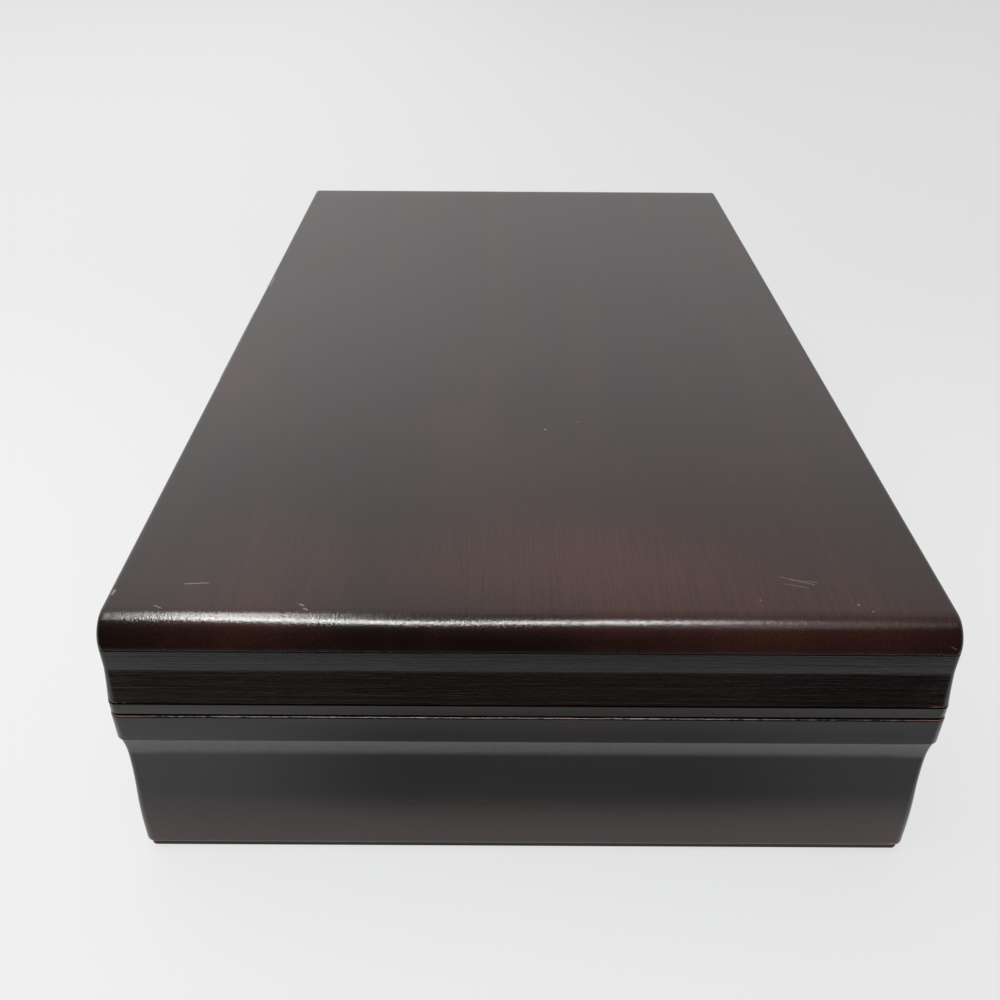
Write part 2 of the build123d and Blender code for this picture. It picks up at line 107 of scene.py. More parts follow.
# Racks
notch_count = 6
notch_end_margin = 15.75 * MM
notch_width = 11.5 * MM
notch_depth = 21 * MM
knife_count = 12
knife_end_margin = 27 * MM
handle_notch_width = 13 * MM
handle_notch_depth = 11 * MM
blade_notch_width = 5 * MM
blade_notch_depth = 12 * MM
notch_lip = 1.4 * MM

# Cloth: how far in from an edge its swell is full, and about how many ripples it has to the metre
cloth_rise = 4 * MM
cloth_ripple = 45.0

# Hinge leaves let into the rails
leaf_thickness = 1.2 * MM
leaf_half_length = 25 * MM
leaf_room = 0.1 * MM

# Fineness of the meshes
nose_steps = 16
ease_steps = 6
corner_steps = 6
hollow_steps = 14
cove_steps = 12
sweep_steps = 8
arris_steps = 6
lip_steps = 5
notch_steps = 16
straight_step = 12 * MM
cloth_step = 9 * MM

# Wear is kept on the meshes: 0 is sound varnish, 1 is bare wood, below 0 is old wax and a painted
# reflection of the floor, pale in the case's cove
wear_and_reflection_layer = "wear"
band_wear = 0.05
quirk_wear = 0.58
fillet_wear = 0.2
fillet_foot_wear = 0.32
lid_rim_wear = 0.36
rim_wear = (0.1, 0.8, 0.84, 0.3)
case_nose_wear = 0.12
under_nose_wear = 0.15
cove_wax_and_reflection = 2.2
foot_wear = (0.15, 0.4, 0.74)
corner_wear_reach = 9 * MM
corner_wear_gain = 0.62
board_edge_wear = 0.5
board_foot_wear = 0.3


# Node helpers

class Shader:
    """A material's node tree with short ways to add nodes."""

    def __init__(self, name):
        self.material = bpy.data.materials.new(name)
        self.material.use_nodes = True
        self.tree = self.material.node_tree
        self.tree.nodes.clear()
        self.output = self.tree.nodes.new("ShaderNodeOutputMaterial")
        self.surface = self.tree.nodes.new("ShaderNodeBsdfPrincipled")
        self.tree.links.new(self.surface.outputs[0], self.output.inputs[0])

    def put(self, socket, value):
        """Set a socket, or link it when the value is another node's output."""
        if isinstance(value, bpy.types.NodeSocket):
            self.tree.links.new(value, socket)
        else:
            socket.default_value = value

    def node(self, kind, inputs=(), **settings):
        made = self.tree.nodes.new(kind)
        for key, value in settings.items():
            setattr(made, key, value)
        for key, value in dict(inputs).items():
            self.put(made.inputs[key], value)
        return made

    def math(self, operation, a, b, clamp=False):
        made = self.node("ShaderNodeMath", {0: a, 1: b}, operation=operation, use_clamp=clamp)
        return made.outputs[0]

    def vector(self, operation, a, b=(0.0, 0.0, 0.0)):
        made = self.node("ShaderNodeVectorMath", {0: a, 1: b}, operation=operation)
        return made.outputs[1 if operation in ("LENGTH", "DOT_PRODUCT") else 0]

    def place(self):
        """The point on the object, in the model's frame at rest."""
        return self.node("ShaderNodeTexCoord").outputs["Object"]

    def mapped(self, vector, scale):
        return self.node("ShaderNodeMapping", {"Vector": vector, "Scale": scale}).outputs[0]

    def noise(self, vector, scale=1.0, detail=3.0, roughness=0.5, distortion=0.0):
        inputs = {
            "Vector": vector,
            "Scale": scale,
            "Detail": detail,
            "Roughness": roughness,
            "Distortion": distortion,
        }
        return self.node("ShaderNodeTexNoise", inputs).outputs[0]

    def spread(self, value, low, high, to_low=0.0, to_high=1.0):
        """The value taken from one range to another, smoothly and within it."""
        inputs = {"Value": value, 1: low, 2: high, 3: to_low, 4: to_high}
        made = self.node("ShaderNodeMapRange", inputs, interpolation_type="SMOOTHSTEP")
        return made.outputs[0]

    def mix(self, factor, a, b):
        made = self.node("ShaderNodeMix", data_type="RGBA")
        for index, value in ((0, factor), (6, a), (7, b)):
            self.put(made.inputs[index], value)
        return made.outputs[2]

    def bump(self, height, strength, distance, normal=None):
        inputs = {"Height": height, "Strength": strength, "Distance": distance}
        if normal:
            inputs["Normal"] = normal
        return self.node("ShaderNodeBump", inputs).outputs[0]

    def set(self, **values):
        for key, value in values.items():
            self.put(self.surface.inputs[key.replace("_", " ")], value)


def srgb(red, green, blue):
    """A colour written as the screen shows it, 0 to 255, as the linear colour a shader takes."""
    def linear(v):
        v = v / 255
        return v / 12.92 if v <= 0.04045 else ((v + 0.055) / 1.055) ** 2.4
    return (linear(red), linear(green), linear(blue), 1.0)


# Materials

espresso = srgb(29, 20, 18)
cold_stain = srgb(22, 20, 21)
# Painted shade for the hollow of the lid rails: darker and redder
hollow_painted_shade = srgb(24, 11, 9)
mahogany = srgb(78, 42, 35)
ebony = srgb(14, 11, 11)
raw_wood = srgb(170, 118, 82)
rubbed_wood = srgb(140, 84, 58)
paler_foot = srgb(80, 54, 49)
# Old wax, pale grey, also a painted reflection of the floor in the cove
wax_and_reflection = srgb(112, 109, 105)
wax_reflection_cover = 0.64
pale_mark = srgb(168, 158, 150)
varnish_index = 1.5


def varnished_wood(name, along_y=False, stain=None, patches=(), marks=(), chips=()):
    """Dark stained mahogany under gloss varnish. Its grain runs along X, or along Y."""
    s = Shader(name)
    place = s.place()
    fibre = s.noise(s.mapped(place, grain_scale(along_y, 26, 1900)), detail=2.0, roughness=0.6)
    pores = s.noise(s.mapped(place, grain_scale(along_y, 150, 3400)), detail=1.0)
    figure = s.noise(
        s.mapped(place, grain_scale(along_y, 3.2, 46)), detail=4.0, roughness=0.62, distortion=0.35
    )
    cloud = s.noise(place, 9.0, detail=2.0)
    red = s.math("ADD", s.math("MULTIPLY", figure, 0.45), s.math("MULTIPLY", cloud, 0.55))
    red = s.spread(red, 0.46, 0.68, 0.0, 0.12 if stain else 0.4)
    for centre, reach, amount in patches:
        away = s.vector("LENGTH", s.vector("MULTIPLY", s.vector("SUBTRACT", place, centre), reach))
        red = s.math("ADD", red, s.spread(away, 1.0, 0.1, 0.0, amount), clamp=True)
    colour = s.mix(red, stain or espresso, mahogany)
    colour = s.mix(s.spread(fibre, 0.42, 0.66, 0.0, 0.4), colour, ebony)
    colour = s.mix(s.spread(pores, 0.62, 0.72, 0.0, 0.6), colour, ebony)
    level = s.node("ShaderNodeSeparateXYZ", {0: place}).outputs[2]
    # Lighter towards the foot of the case
    colour = s.mix(s.spread(level, 4 * MM, 34 * MM, 0.5, 0.0), colour, paler_foot)
    # Painted shade: the lid rails' hollow, between fillet and band, is painted darker and redder
    if stain:
        over_fillet = s.spread(level, 67.5 * MM, 70 * MM)
        under_band = s.spread(level, 86.5 * MM, 82 * MM)
        colour = s.mix(s.math("MULTIPLY", over_fillet, under_band), colour, hollow_painted_shade)

    wear = s.node("ShaderNodeAttribute", attribute_name=wear_and_reflection_layer).outputs["Fac"]
    flecks = s.noise(place, 420.0, detail=4.0, roughness=0.65)
    patchy = s.noise(place, 38.0, detail=3.0)
    bare = s.math("SUBTRACT", s.math("ADD", wear, s.math("MULTIPLY", patchy, 0.5)), 0.5)
    bare = s.spread(s.math("ADD", bare, s.math("MULTIPLY", flecks, 0.9)), 0.92, 1.06)
    for centre, radius in chips:
        away = s.vector("LENGTH", s.vector("SUBTRACT", place, centre))
        away = s.math("ADD", away, s.math("MULTIPLY", flecks, radius))
        bare = s.math("MAXIMUM", bare, s.spread(away, 1.5 * radius, 1.2 * radius))
    # Old wax and a painted reflection of the floor, pale where the wear is below 0
    wax_reflection_mask = s.spread(wear, 0.0, -1.0, 0.0, wax_reflection_cover)
    wax_reflection_mask = s.math("MULTIPLY", wax_reflection_mask, s.spread(flecks, 0.2, 0.6, 0.75, 1.0))
    colour = s.mix(wax_reflection_mask, colour, wax_and_reflection)
    rubbed = s.mix(s.noise(place, 900.0), raw_wood, rubbed_wood)
    colour = s.mix(bare, colour, rubbed)

    sheen_marks = 0.0
    for start, end, width, strength in marks:
        sheen_marks = mark(s, place, start, end, width, strength, sheen_marks)
    if marks:
        colour = s.mix(sheen_marks, colour, pale_mark)

    speckle = s.noise(place, 1500.0, detail=2.0, roughness=0.7)
    streak = s.noise(s.mapped(place, grain_scale(along_y, 14, 620)), detail=3.0, roughness=0.6)
    rough = s.spread(cloud, 0.3, 0.7, 0.1, 0.16)
    rough = s.math("ADD", rough, s.math("MULTIPLY", fibre, 0.06))
    rough = s.math("ADD", rough, s.spread(speckle, 0.35, 0.75, 0.0, 0.07))
    rough = s.math("ADD", rough, s.math("MULTIPLY", s.math("ADD", bare, wax_reflection_mask), 0.3))
    height = s.math("ADD", s.math("MULTIPLY", fibre, 0.8), s.math("MULTIPLY", pores, -0.4))
    height = s.math("ADD", height, s.math("MULTIPLY", speckle, 0.9))
    height = s.math("ADD", height, streak)
    normal = s.bump(height, 0.3 if stain else 0.4, 0.0001)
    normal = s.bump(s.noise(place, 190.0, detail=2.0), 0.08, 0.0004, normal)
    s.set(Base_Color=colour, Roughness=rough, Normal=normal)
    s.surface.inputs["IOR"].default_value = varnish_index
    return s.material


def grain_scale(along_y, lengthwise, across):
    """Scale of a pattern drawn out along the grain."""
    return (across, lengthwise, across) if along_y else (lengthwise, across, across)


def mark(s, place, start, end, width, strength, others):
    """Adds a fine scratch from one point to another to a mask of them."""
    a = Vector(start)
    run = Vector(end) - a
    length = run.length
    along = run / length
    from_start = s.vector("SUBTRACT", place, a)
    reached = s.math("MAXIMUM", s.vector("DOT_PRODUCT", from_start, along), 0.0)
    reached = s.math("MINIMUM", reached, length)
    nearest = s.node("ShaderNodeVectorMath", {0: along, "Scale": reached}, operation="SCALE")
    away = s.vector("LENGTH", s.vector("SUBTRACT", from_start, nearest.outputs[0]))
    line = s.spread(away, width, width * 0.25, 0.0, strength)
    return line if isinstance(others, float) else s.math("MAXIMUM", others, line)


def flannel(name):
    """Brushed brown tarnish-proof cloth: a fine twill under a soft, uneven nap."""
    s = Shader(name)
    place = s.place()
    nap = s.noise(place, 900.0, detail=5.0, roughness=0.7, distortion=0.6)
    drift = s.noise(place, 34.0, detail=3.0)
    twill = s.node(
        "ShaderNodeTexWave",
        {"Vector": place, "Scale": 420.0, "Distortion": 0.8, "Detail": 1.0},
        bands_direction="DIAGONAL",
    ).outputs[0]
    colour = s.mix(s.spread(nap, 0.3, 0.7), srgb(82, 55, 38), srgb(128, 92, 66))
    colour = s.mix(s.spread(drift, 0.35, 0.65, 0.0, 0.4), colour, srgb(98, 66, 46))
    s.set(Base_Color=colour, Roughness=0.95)
    s.surface.inputs["Sheen Weight"].default_value = 0.45
    s.surface.inputs["Sheen Roughness"].default_value = 0.6
    s.surface.inputs["Sheen Tint"].default_value = srgb(196, 160, 128)
    height = s.math("ADD", nap, s.math("MULTIPLY", twill, 0.35))
    s.set(Normal=s.bump(height, 0.5, 0.0005))
    return s.material


def felt(name):
    """Dark brown pressed felt with loose fibres."""
    s = Shader(name)
    place = s.place()
    fuzz = s.noise(place, 1500.0, detail=5.0, roughness=0.75, distortion=1.2)
    drift = s.noise(place, 60.0)
    colour = s.mix(s.spread(fuzz, 0.3, 0.72), srgb(34, 28, 25), srgb(74, 63, 55))
    colour = s.mix(s.spread(drift, 0.4, 0.7, 0.0, 0.35), colour, srgb(48, 40, 36))
    s.set(Base_Color=colour, Roughness=1.0, Normal=s.bump(fuzz, 0.6, 0.0004))
    s.surface.inputs["Sheen Weight"].default_value = 0.3
    return s.material


def stained_panel(name):
    """The edge and face of thin dark-stained plywood."""
    s = Shader(name)
    place = s.place()
    plies = s.node(
        "ShaderNodeTexWave",
        {"Vector": place, "Scale": 380.0, "Distortion": 0.3},
        bands_direction="Z",
    ).outputs[0]
    grain = s.noise(s.mapped(place, (40, 1200, 1200)), detail=3.0)
    colour = s.mix(grain, srgb(30, 21, 17), srgb(58, 40, 30))
    colour = s.mix(s.spread(plies, 0.5, 1.0, 0.0, 0.5), colour, srgb(22, 16, 13))
    s.set(Base_Color=colour, Roughness=0.62, Normal=s.bump(grain, 0.3, 0.0002))
    return s.material


def brass(name):
    """Brushed and lacquered brass, a little toned."""
    s = Shader(name)
    place = s.place()
    brushed = s.noise(s.mapped(place, (60, 2400, 2400)), detail=3.0, roughness=0.6)
    toning = s.noise(place, 120.0, detail=4.0, roughness=0.6)
    colour = s.mix(s.spread(toning, 0.35, 0.7), srgb(222, 184, 112), srgb(178, 132, 66))
    rough = s.math("ADD", s.spread(brushed, 0.3, 0.7, 0.2, 0.34), s.math("MULTIPLY", toning, 0.12))
    s.set(Base_Color=colour, Roughness=rough, Normal=s.bump(brushed, 0.12, 0.0002))
    s.surface.inputs["Metallic"].default_value = 1.0
    return s.material


# Mesh helpers

def finished(bm, name, material, body, nodes, sharp=32.0):
    """Turns a bmesh into a piece that rides on a body and stands for CAD nodes."""
    bmesh.ops.recalc_face_normals(bm, faces=bm.faces)
    mesh = bpy.data.meshes.new(name)
    bm.to_mesh(mesh)
    bm.free()
    mesh.polygons.foreach_set("use_smooth", [True] * len(mesh.polygons))
    mesh.set_sharp_from_angle(angle=math.radians(sharp))
    mesh.materials.append(material)
    piece = bpy.data.objects.new(name, mesh)
    bpy.context.scene.collection.objects.link(piece)
    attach(piece, body)
    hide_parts(*nodes)
    return piece


def quarter(start, end, tangent, steps):
    """Points of the arc that leaves one point along a direction and ends at another."""
    start = Vector(start)
    chord = Vector(end) - start
    tangent = Vector(tangent).normalized()
    normal = Vector((-tangent.y, tangent.x))
    side = 1.0 if normal.dot(chord) > 0 else -1.0
    normal = normal * side
    radius = chord.length_squared / (2 * normal.dot(chord))
    centre = start + normal * radius
    sweep = 2 * math.atan2(normal.dot(chord), tangent.dot(chord))
    points = []
    for i in range(1, steps + 1):
        angle = sweep * i / steps
        spot = centre - normal * radius * math.cos(angle) + tangent * radius * math.sin(angle)
        points.append(tuple(spot))
    return points


def with_wear(points, amount):
    return [(p[0], p[1], amount) for p in points]


def lid_profile():
    """Outer side of a lid rail from the top down: outset, height and wear of each point."""
    band_foot = board_bottom - lid_band_height
    hollow_foot = band_foot - lid_hollow_height
    quirk_foot = hollow_foot - quirk_height
    fillet_foot = (lid_fillet_outset, lid_bottom + lid_arris)
    band_edge = (0.0, band_foot)
    hollow_edge = (lid_hollow_outset, hollow_foot)
    quirk_back = lid_hollow_outset - quirk_depth
    rim_edge = (lid_fillet_outset - lid_arris, lid_bottom)
    points = [(0.0, board_bottom, 0.0)]
    points += [(0.0, band_foot + 0.2 * MM, band_wear), (*band_edge, band_wear)]
    points += with_wear(quarter(band_edge, hollow_edge, hollow_start, hollow_steps), 0.0)
    points[-1] = (*points[-1][:2], quirk_wear)
    points += [(quirk_back, hollow_foot - quirk_ease, 0.0), (quirk_back, quirk_foot, 0.0)]
    points += [(lid_fillet_outset - fillet_ease, quirk_foot, fillet_wear)]
    points += [(lid_fillet_outset, quirk_foot - fillet_ease, fillet_wear)]
    points += [(*fillet_foot, fillet_foot_wear)]
    points += with_wear(quarter(fillet_foot, rim_edge, (0, -1), 4), lid_rim_wear)
    return points


def case_profile():
    """Outer side of a case rail from the top down: outset, height and wear of each point."""
    band_foot = rim_level - case_band_height
    waist_top = band_foot - cove_height
    sweep_foot = waist_top - sweep_height
    middle = ((waist_outset + foot_outset) / 2, (waist_top + sweep_foot) / 2)
    rim = (case_band_outset - case_arris, rim_level)
    band_top = (case_band_outset, rim_level - case_arris)
    nose = (case_band_outset, band_foot + case_nose)
    under = (case_band_outset - case_nose, band_foot)
    waist = (waist_outset, waist_top)
    sweep_end = (foot_outset, sweep_foot)
    foot = (foot_outset, foot_level + foot_arris)
    underside = (foot_outset - foot_arris, foot_level)
    points = [(rim[0] - 0.1 * MM, rim_level, rim_wear[0]), (*rim, rim_wear[0])]
    arris = quarter(rim, band_top, (1, 0), arris_steps)
    points += [(*spot, wear) for spot, wear in zip(arris, rim_wear)]
    points += with_wear(arris[len(rim_wear):], 0.0)
    points += [(case_band_outset, rim_level - 1.5 * case_arris, band_wear)]
    points += [(*nose, case_nose_wear)]
    points += with_wear(quarter(nose, under, (0, -1), 5), under_nose_wear)
    # Old wax and a painted reflection down the cove, strongest at its top and gone at the waist
    cove = list(reversed(quarter(waist, under, (0, 1), cove_steps)))[1:]
    points += [(*spot, -cove_wax_and_reflection + cove_wax_and_reflection * i / len(cove)) for i, spot in enumerate(cove)]
    points += [(*waist, 0.0)]
    points += with_wear(quarter(waist, middle, (0, -1), sweep_steps), 0.0)
    points += with_wear(list(reversed(quarter(sweep_end, middle, (0, 1), sweep_steps)))[1:], 0.0)
    points += [(*sweep_end, 0.0), (foot_outset, foot_level + 2 * foot_arris, foot_wear[0])]
    points += [(*foot, foot_wear[1])]
    points += with_wear(quarter(foot, underside, (0, -1), arris_steps), foot_wear[2])
    return points


def moulded_rail(name, outward, profile, material, body, nodes, cutters):
    """One mitred rail: its profile runs from the middle of one eased corner to the next."""
    outward = Vector(outward)
    along = Vector((-outward.y, outward.x, 0.0))
    across = body_length / 2 if abs(outward.x) > 0.5 else body_width / 2
    run = (body_width / 2 if abs(outward.x) > 0.5 else body_length / 2) - corner_radius
    stations = []
    for i in range(corner_steps, 0, -1):
        stations.append((-run, -math.radians(45) * i / corner_steps))
    count = round(2 * run / straight_step)
    stations += [(-run + 2 * run * i / count, 0.0) for i in range(count + 1)]
    for i in range(1, corner_steps + 1):
        stations.append((run, math.radians(45) * i / corner_steps))
    bm = bmesh.new()
    layer = bm.verts.layers.float.new(wear_and_reflection_layer)
    rows = []
    for place, angle in stations:
        centre = outward * (across - corner_radius) + along * place
        aim = outward * math.cos(angle) + along * math.sin(angle)
        row = []
        for outset, height, wear in profile:
            vert = bm.verts.new(centre + aim * (corner_radius + outset) + Vector((0, 0, height)))
            corner = min(1.0, max(0.0, 1 - (run - abs(place)) / corner_wear_reach))
            vert[layer] = wear * (1.0 + corner_wear_gain * corner)
            row.append(vert)
        rows.append(row)
    for a, b in zip(rows, rows[1:]):
        for i in range(len(profile) - 1):
            bm.faces.new((a[i], a[i + 1], b[i + 1], b[i]))
    inner = across - rail_thickness
    reach = run + corner_radius - rail_thickness
    ends = [outward * inner - along * reach, outward * inner + along * reach]
    top, foot = profile[0][1], profile[-1][1]
    upper = [bm.verts.new(p + Vector((0, 0, top))) for p in ends]
    lower = [bm.verts.new(p + Vector((0, 0, foot))) for p in ends]
    bm.faces.new([row[0] for row in rows] + [upper[1], upper[0]])
    bm.faces.new([row[-1] for row in reversed(rows)] + [lower[0], lower[1]])
    bm.faces.new((upper[0], upper[1], lower[1], lower[0]))
    bm.faces.new(list(reversed(rows[0])) + [upper[0], lower[0]])
    bm.faces.new(rows[-1] + [lower[1], upper[1]])
    for low, high in cutters:
        carve(bm, low, high)
    return finished(bm, name, material, body, nodes)


def carve(bm, low, high):
    """Takes a box out of a closed mesh."""
    shape = bpy.data.meshes.new("carved")
    bmesh.ops.recalc_face_normals(bm, faces=bm.faces)
    bm.to_mesh(shape)
    cutter_mesh = bpy.data.meshes.new("cutter")
    cutter = bmesh.new()
    size = [b - a for a, b in zip(low, high)]
    middle = Vector([(a + b) / 2 for a, b in zip(low, high)])
    box = Matrix.Translation(middle) @ Matrix.Diagonal((*size, 1))
    bmesh.ops.create_cube(cutter, size=1.0, matrix=box)
    cutter.to_mesh(cutter_mesh)
    cutter.free()
    target = bpy.data.objects.new("carved", shape)
    tool = bpy.data.objects.new("cutter", cutter_mesh)
    for o in (target, tool):
        bpy.context.scene.collection.objects.link(o)
    cut = target.modifiers.new("cut", "BOOLEAN")
    cut.operation = "DIFFERENCE"
    cut.solver = "EXACT"
    cut.object = tool
    bpy.context.view_layer.update()
    carved = target.evaluated_get(bpy.context.evaluated_depsgraph_get())
    result = bpy.data.meshes.new_from_object(carved)
    bm.clear()
    bm.from_mesh(result)
    for o in (target, tool):
        bpy.data.objects.remove(o)
    for m in (shape, cutter_mesh, result):
        bpy.data.meshes.remove(m)


def make_board(material):
    """The lid board: a bullnose at both ends, its long edges and corners only eased."""
    inner_length = body_length / 2 - corner_radius
    inner_top = top_level - corner_radius
    nose = bullnose_radius - corner_radius
    spine = [(inner_length, board_bottom + board_arris, 0.0, board_foot_wear)]
    for i in range(nose_steps + 1):
        tilt = math.radians(90) * i / nose_steps
        x = inner_length - nose * (1 - math.cos(tilt))
        z = inner_top - nose * (1 - math.sin(tilt))
        spine.append((x, z, tilt, 0.0))
    count = round(2 * (inner_length - nose) / straight_step)
    flat = [
        ((inner_length - nose) * (1 - 2 * i / count), inner_top, math.radians(90), 0.0)
        for i in range(1, count)
    ]
    spine += flat + [(-x, z, math.pi - tilt, wear) for x, z, tilt, wear in reversed(spine)]
    bm = bmesh.new()
    layer = bm.verts.layers.float.new(wear_and_reflection_layer)
    rows = []
    for x, z, tilt, wear in spine:
        row = []
        for side in (-1, 1):
            eases = range(ease_steps + 1)
            for i in eases if side < 0 else reversed(eases):
                lean = math.radians(90) * (1 - i / ease_steps)
                out = corner_radius * math.cos(lean)
                y = side * (body_width / 2 - corner_radius + corner_radius * math.sin(lean))
                spot = (x + out * math.cos(tilt), y, z + out * math.sin(tilt))
                vert = bm.verts.new(spot)
                vert[layer] = wear + board_edge_wear * math.sin(2 * lean)
                row.append(vert)
        rows.append(row)
    for a, b in zip(rows, rows[1:]):
        for i in range(len(a) - 1):
            bm.faces.new((a[i], a[i + 1], b[i + 1], b[i]))
    near_foot = [bm.verts.new((v.co.x - board_arris, v.co.y, board_bottom)) for v in rows[0]]
    far_foot = [bm.verts.new((v.co.x + board_arris, v.co.y, board_bottom)) for v in rows[-1]]
    for feet, row in ((near_foot, rows[0]), (far_foot, rows[-1])):
        feet[0].co.y += board_arris
        feet[-1].co.y -= board_arris
        for foot in feet:
            foot[layer] = board_foot_wear
        for i in range(len(row) - 1):
            bm.faces.new((row[i], feet[i], feet[i + 1], row[i + 1]))
    for end in (0, -1):
        side = [row[end] for row in rows]
        bm.faces.new(side + [far_foot[end], near_foot[end]])
    bm.faces.new(near_foot + list(reversed(far_foot)))
    return finished(bm, "lid_board", material, "lid", ["lid_top"])


def covered_board(node, name, material, body, edge, fullness):
    """A thin board covered with cloth: rounded edges, and faces that swell or sink a little."""
    low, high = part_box(node)
    size = high - low
    edge = min(edge, 0.45 * min(size))
    bm = bmesh.new()
    shape = Matrix.Translation((low + high) / 2) @ Matrix.Diagonal((*size, 1))
    bmesh.ops.create_cube(bm, size=1.0, matrix=shape)
    bmesh.ops.bevel(bm, geom=bm.edges[:], offset=edge, segments=4, profile=0.5, affect="EDGES")
    for axis in range(3):
        cuts = int(size[axis] / cloth_step)
        least = 0.9 * (size[axis] - 2 * edge)
        across = [e for e in bm.edges if abs((e.verts[0].co - e.verts[1].co)[axis]) > least]
        if cuts and across:
            bmesh.ops.subdivide_edges(bm, edges=across, cuts=cuts, use_grid_fill=True)
    thin = min(range(3), key=lambda k: size[k])
    for vert in bm.verts:
        wander = noise.noise(vert.co * cloth_ripple)
        inset = min(min(vert.co[k] - low[k], high[k] - vert.co[k]) for k in range(3) if k != thin)
        share = min(1.0, max(0.0, inset / cloth_rise))
        side = 1.0 if vert.co[thin] > (low[thin] + high[thin]) / 2 else -1.0
        vert.co[thin] -= side * share * fullness * (0.5 + 0.5 * wander)
    return finished(bm, name, material, body, [node], sharp=50.0)


def notched_bar(node, name, material, body, count, margin, width, depth, downward):
    """A cloth-covered bar with a row of notches, rounded where the cloth wraps into them."""
    low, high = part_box(node)
    pitch = (high.x - low.x - 2 * margin) / (count - 1)
    lip = notch_lip
    radius = width / 2
    mouth = low.z if downward else high.z
    into = 1.0 if downward else -1.0
    back = high.z if downward else low.z
    outline = [(low.x, back), (low.x, mouth)]
    for index in range(count):
        x = low.x + margin + index * pitch
        turned_in = []
        for i in range(lip_steps + 1):
            angle = math.radians(90) * i / lip_steps
            turned_in.append((lip * math.sin(angle), mouth + into * lip * (1 - math.cos(angle))))
        outline += [(x - radius - lip + across, z) for across, z in turned_in]
        for i in range(notch_steps + 1):
            angle = math.radians(180) * i / notch_steps
            z = mouth + into * (depth - radius + radius * math.sin(angle))
            outline.append((x - radius * math.cos(angle), z))
        outline += [(x + radius + lip - across, z) for across, z in reversed(turned_in)]
    outline += [(high.x, mouth), (high.x, back)]
    bm = bmesh.new()
    front = [bm.verts.new((x, low.y, z)) for x, z in outline]
    rear = [bm.verts.new((x, high.y, z)) for x, z in outline]
    faces = [bm.faces.new(front), bm.faces.new(list(reversed(rear)))]
    for i in range(len(outline)):
        j = (i + 1) % len(outline)
        bm.faces.new((front[j], front[i], rear[i], rear[j]))
    rims = [e for e in bm.edges if any(f in faces for f in e.link_faces)]
    bmesh.ops.bevel(bm, geom=rims, offset=0.9 * MM, segments=3, profile=0.5, affect="EDGES")
    return finished(bm, name, material, body, [node], sharp=40.0)


def soft_disc(node, name, material, body):
    """Felt dots, domed a little, one at each end of the front rail."""
    low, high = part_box(node)
    radius = (high.y - low.y) / 2
    middle = (low.y + high.y) / 2
    around = 40
    uneven = 0.12 * MM
    levels = (
        (0.0, low.z),
        (0.0, low.z + 0.45 * MM),
        (0.25 * MM, high.z - 0.08 * MM),
        (1.2 * MM, high.z),
    )
    bm = bmesh.new()
    for x in (low.x + radius, high.x - radius):
        rings = []
        for inset, height in levels:
            ring = []
            for i in range(around):
                angle = 2 * math.pi * i / around
                wobble = noise.noise(Vector((math.cos(angle) * 3, math.sin(angle) * 3, x)))
                reach = radius - inset - uneven + uneven * wobble
                spot = (x + reach * math.cos(angle), middle + reach * math.sin(angle), height)
                ring.append(bm.verts.new(spot))
            rings.append(ring)
        for a, b in zip(rings, rings[1:]):
            for i in range(around):
                j = (i + 1) % around
                bm.faces.new((a[i], a[j], b[j], b[i]))
        bm.faces.new(list(reversed(rings[0])))
        bm.faces.new(rings[-1])
    return finished(bm, name, material, body, [node])


# Small marks on the lid and the near end, in the model's frame

def on_top(x, y):
    return (x * MM, y * MM, top_level)


def on_near_end(y, z):
    return (body_length / 2 + foot_outset, y * MM, z * MM)


top_patches = [
    (on_top(196, 14), (20.0, 11.0, 120.0), 0.62),
    (on_top(150, 0), (11.0, 14.0, 14.0), 0.36),
    (on_top(196, -88), (20.0, 15.0, 14.0), 0.3),
    (on_top(204, 84), (16.0, 10.0, 14.0), 0.36),
    (on_top(222, 98), (34.0, 17.0, 40.0), 0.36),
    (on_top(222, -96), (34.0, 17.0, 40.0), 0.2),
    (on_top(140, 84), (11.0, 14.0, 14.0), 0.25),
]
top_marks = [
    (on_top(202.7, -109.5), on_top(202.1, -101.8), 0.22 * MM, 0.9),
    (on_top(213.4, -115.9), on_top(214.6, -113.5), 0.25 * MM, 0.7),
    (on_top(212.5, -71.1), on_top(213.0, -70.0), 0.5 * MM, 0.6),
    (on_top(214.4, -69.6), on_top(215.0, -68.5), 0.5 * MM, 0.6),
    (on_top(197.4, 80.8), on_top(201.4, 91.0), 0.18 * MM, 0.55),
    (on_top(199.0, 84.0), on_top(200.2, 92.0), 0.16 * MM, 0.5),
    (on_top(201.0, 81.5), on_top(203.0, 88.5), 0.16 * MM, 0.45),
    (on_top(211.1, 101.9), on_top(211.6, 102.3), 0.35 * MM, 0.6),
    (on_top(214.4, 105.5), on_top(214.6, 106.0), 0.3 * MM, 0.6),
    (on_top(209.1, 71.8), on_top(209.3, 72.4), 0.3 * MM, 0.5),
    (on_top(102.3, 8.4), on_top(103.2, 8.9), 0.45 * MM, 0.6),
    (on_top(96.0, 22.0), on_top(97.0, 22.2), 0.3 * MM, 0.4),
    (on_top(-59.0, -130.6), on_top(-47.0, -130.6), 0.8 * MM, 0.35),
    (on_top(206.0, -130.4), on_top(208.0, -130.6), 0.6 * MM, 0.7),
    ((222.9 * MM, 126.2 * MM, 96.6 * MM), (223.3 * MM, 130.0 * MM, 94.6 * MM), 0.16 * MM, 0.6),
]
